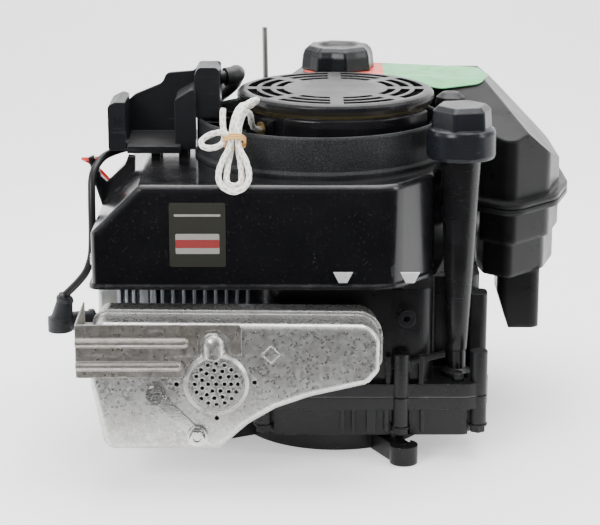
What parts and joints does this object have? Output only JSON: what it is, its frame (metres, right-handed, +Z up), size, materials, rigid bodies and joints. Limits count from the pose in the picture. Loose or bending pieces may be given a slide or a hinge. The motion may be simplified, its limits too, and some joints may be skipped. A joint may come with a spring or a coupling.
{
  "type": "small gasoline engine",
  "caption": "Vertical-shaft single-cylinder gasoline engine with cooling shroud, recoil starter, side muffler, fuel tank and oil filler.",
  "frame": {"origin": "crankshaft axis at the mounting face under the sump", "axes": "+Z up along the crankshaft, -X towards the cylinder head, -Y towards the muffler; output shaft end hangs below the mounting face"},
  "size_m": [0.463, 0.3831, 0.421],
  "materials": {
    "black_gloss_paint": "gloss black paint",
    "black_engine_paint": "semi-gloss black paint",
    "cast_aluminium": "as cast",
    "aluminized_steel": "mottled aluminized sheet",
    "machined_steel": "ground steel",
    "zinc_steel": "zinc plated",
    "rocker_cover_paint": "silver paint",
    "gasket": "fibre gasket",
    "black_plastic_textured": "moulded, speckled grain",
    "black_plastic_satin": "satin moulded",
    "tank_plastic": "satin moulded, welded seam",
    "cap_plastic": "slate moulded",
    "black_rubber": "matt",
    "red_wire": "red insulation",
    "spark_plug_steel": "plated shell with pale insulator",
    "eyelet_brass": "worn",
    "rope_nylon": "braided, white",
    "tag_card": "thin coated card"
  },
  "bodies": {
    "root": {"air_duct": "black_plastic_satin", "air_filter_box": "black_plastic_satin", "blower_housing": "black_gloss_paint", "breather_hose": "black_rubber", "carburetor": "cast_aluminium", "crankcase": "black_engine_paint", "cylinder_barrel": "cast_aluminium", "cylinder_head": "cast_aluminium", "filler_tag": "tag_card", "flange_bolts": "zinc_steel", "fuel_line": "black_rubber", "fuel_tank": "tank_plastic", "gaskets": "gasket", "heat_shield": "aluminized_steel", "ignition_coil": "black_engine_paint", "intake_collar": "black_plastic_textured", "intake_manifold": "cast_aluminium", "muffler_body": "aluminized_steel", "muffler_bolts": "zinc_steel", "oil_fill_tube": "black_plastic_satin", "outlet_screen": "zinc_steel", "rocker_cover": "rocker_cover_paint", "rope_eyelet": "eyelet_brass", "rope_hank": "rope_nylon", "small_screws": "zinc_steel", "spark_lead": "black_rubber", "spark_plug": "spark_plug_steel", "spark_plug_boot": "black_rubber", "starter_cover": "black_plastic_satin", "starter_rope": "rope_nylon", "starter_spring": "machined_steel", "stop_wire": "red_wire", "sump": "black_engine_paint", "tank_post": "black_rubber", "valve_springs": "machined_steel"},
    "crank": {"crankshaft": "machined_steel", "flywheel": "cast_aluminium", "starter_cup": "machined_steel", "flywheel_nut": "machined_steel"},
    "gallery_plug": {"gallery_plug": "machined_steel"},
    "rod_big_end": {"rod_big_end": "cast_aluminium"},
    "piston": {"piston": "cast_aluminium", "piston_rings": "machined_steel", "wrist_pin": "machined_steel", "connecting_rod": "cast_aluminium"},
    "camshaft": {"camshaft": "machined_steel"},
    "governor_gear": {"governor_gear": "machined_steel"},
    "starter_pulley": {"starter_pulley": "black_plastic_satin"},
    "fuel_cap": {"fuel_cap": "cap_plastic"},
    "dipstick": {"dipstick": "cap_plastic"},
    "governor_lever": {"governor_lever": "machined_steel"},
    "throttle_link": {"throttle_link": "machined_steel"},
    "throttle_shaft": {"throttle_shaft": "machined_steel"},
    "control_lever": {"control_lever": "machined_steel"},
    "exhaust_valve": {"exhaust_valve": "machined_steel"},
    "exhaust_rocker": {"exhaust_rocker": "machined_steel"},
    "exhaust_pushrod": {"exhaust_pushrod": "machined_steel"},
    "intake_valve": {"intake_valve": "machined_steel"},
    "intake_rocker": {"intake_rocker": "machined_steel"},
    "intake_pushrod": {"intake_pushrod": "machined_steel"}
  },
  "joints": [
    {"name": "crank_spin", "type": "hinge", "parent": "root", "child": "crank", "pos_m": [0, 0, 0.104], "axis": [0, 0, 1], "continuous": true},
    {"name": "gallery_plug_turn", "type": "hinge", "parent": "crank", "child": "gallery_plug", "pos_m": [-0.0145, 0, 0.104], "axis": [0, 0, 1], "continuous": true},
    {"name": "piston_stroke", "type": "hinge", "parent": "gallery_plug", "child": "piston", "pos_m": [-0.029, 0, 0.104], "axis": [0, 0, 1], "continuous": true},
    {"name": "big_end_turn", "type": "hinge", "parent": "crank", "child": "rod_big_end", "pos_m": [-0.029, 0, 0.104], "axis": [0, 0, 1], "continuous": true},
    {"name": "cam_spin", "type": "hinge", "parent": "root", "child": "camshaft", "pos_m": [0.01094, 0.06204, 0.104], "axis": [0, 0, 1], "continuous": true},
    {"name": "governor_spin", "type": "hinge", "parent": "root", "child": "governor_gear", "pos_m": [0.06486, 0.0386, 0.065], "axis": [0, 0, 1], "continuous": true},
    {"name": "starter_pulley_spin", "type": "hinge", "parent": "root", "child": "starter_pulley", "pos_m": [0, 0, 0.275], "axis": [0, 0, 1], "range_deg": [0, 720], "stiffness_Nm_per_rad": 0.02, "springref_deg": -458.37},
    {"name": "fuel_cap_lift", "type": "slide", "parent": "root", "child": "fuel_cap", "axis": [0, 0, 1], "range_m": [0, 0.04]},
    {"name": "dipstick_lift", "type": "slide", "parent": "root", "child": "dipstick", "axis": [0, 0, 1], "range_m": [0, 0.24]},
    {"name": "governor_lever_turn", "type": "hinge", "parent": "root", "child": "governor_lever", "pos_m": [-0.046, 0.106, 0.152], "axis": [0, 0, 1], "range_deg": [-25, 50], "stiffness_Nm_per_rad": 0.02},
    {"name": "throttle_link_turn", "type": "hinge", "parent": "governor_lever", "child": "throttle_link", "pos_m": [-0.046, 0.126, 0.155], "axis": [0, 0, 1], "range_deg": [-50, 25]},
    {"name": "throttle_turn", "type": "hinge", "parent": "root", "child": "throttle_shaft", "pos_m": [-0.176, 0.106, 0.152], "axis": [0, 0, 1], "range_deg": [-25, 50]},
    {"name": "control_lever_turn", "type": "hinge", "parent": "root", "child": "control_lever", "pos_m": [-0.062, 0.109, 0.215], "axis": [0, 1, 0], "range_deg": [-8, 10]},
    {"name": "exhaust_valve_lift", "type": "slide", "parent": "root", "child": "exhaust_valve", "axis": [1, 0, 0], "range_m": [0, 0.0045], "stiffness_N_per_m": 2000, "deforming": ["valve_springs"]},
    {"name": "exhaust_rocker_turn", "type": "hinge", "parent": "root", "child": "exhaust_rocker", "pos_m": [-0.198, 0.03102, 0.085], "axis": [0, 0, 1], "range_deg": [0, 8.32]},
    {"name": "exhaust_pushrod_slide", "type": "slide", "parent": "root", "child": "exhaust_pushrod", "axis": [-1, 0, 0], "range_m": [0, 0.0046]},
    {"name": "intake_valve_lift", "type": "slide", "parent": "root", "child": "intake_valve", "axis": [1, 0, 0], "range_m": [0, 0.0045], "stiffness_N_per_m": 2000, "deforming": ["valve_springs"]},
    {"name": "intake_rocker_turn", "type": "hinge", "parent": "root", "child": "intake_rocker", "pos_m": [-0.198, 0.03102, 0.123], "axis": [0, 0, 1], "range_deg": [0, 8.32]},
    {"name": "intake_pushrod_slide", "type": "slide", "parent": "root", "child": "intake_pushrod", "axis": [-1, 0, 0], "range_m": [0, 0.0046]}
  ],
  "couplings": [
    {"joint": "gallery_plug_turn", "follows": "crank_spin", "ratio": -2},
    {"joint": "piston_stroke", "follows": "crank_spin", "ratio": 1},
    {"joint": "big_end_turn", "follows": "crank_spin", "ratio": -1},
    {"joint": "cam_spin", "follows": "crank_spin", "ratio": -0.5},
    {"joint": "governor_spin", "follows": "crank_spin", "ratio": 1.25},
    {"joint": "throttle_link_turn", "follows": "governor_lever_turn", "ratio": -1},
    {"joint": "throttle_turn", "follows": "governor_lever_turn", "ratio": 1},
    {"joint": "exhaust_rocker_turn", "follows": "exhaust_valve_lift", "rad_per_m": 32.236},
    {"joint": "exhaust_pushrod_slide", "follows": "exhaust_valve_lift", "ratio": 1},
    {"joint": "intake_rocker_turn", "follows": "intake_valve_lift", "rad_per_m": 32.236},
    {"joint": "intake_pushrod_slide", "follows": "intake_valve_lift", "ratio": 1}
  ]
}
